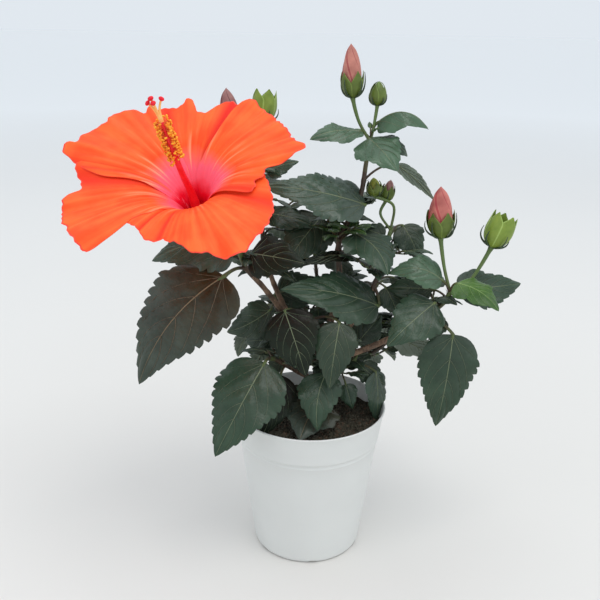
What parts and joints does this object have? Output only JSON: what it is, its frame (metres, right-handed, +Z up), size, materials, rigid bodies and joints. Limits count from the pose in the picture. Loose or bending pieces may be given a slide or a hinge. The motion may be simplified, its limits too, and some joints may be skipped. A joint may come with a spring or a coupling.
{
  "type": "potted hibiscus shrub",
  "caption": "Young potted hibiscus shrub: woody stems, toothed leaves, buds and one wide open flower in a plain tapered pot.",
  "frame": {"origin": "centre of the pot's flat underside, on the surface it stands on", "axes": "+Z up; -Y faces the viewer; +X to the viewer's right"},
  "size_m": [0.3236, 0.2419, 0.3918],
  "materials": {
    "pot_plastic": "matte white moulded plastic",
    "potting_soil": "dark crumbly potting mix",
    "bark": "brown young bark",
    "foliage": "dark green leaves with pale veins",
    "petals": "orange-red petals with a pink throat"
  },
  "bodies": {
    "root": {"pot": "pot_plastic", "soil": "potting_soil", "trunk": "bark", "limb_left": "bark", "limb_left_back": "bark", "limb_centre": "bark", "limb_middle": "bark", "limb_right": "bark", "limb_low_left": "bark", "leaves_left": "foliage", "leaves_left_back": "foliage", "leaves_centre": "foliage", "leaves_middle": "foliage", "leaves_right": "foliage", "leaves_low_left": "foliage", "leaves_front": "foliage", "leaves_low_right": "foliage", "leaves_back_left": "foliage", "leaves_back": "foliage", "leaves_back_right": "foliage", "leaves_side_right": "foliage", "bloom": "petals"}
  },
  "joints": []
}
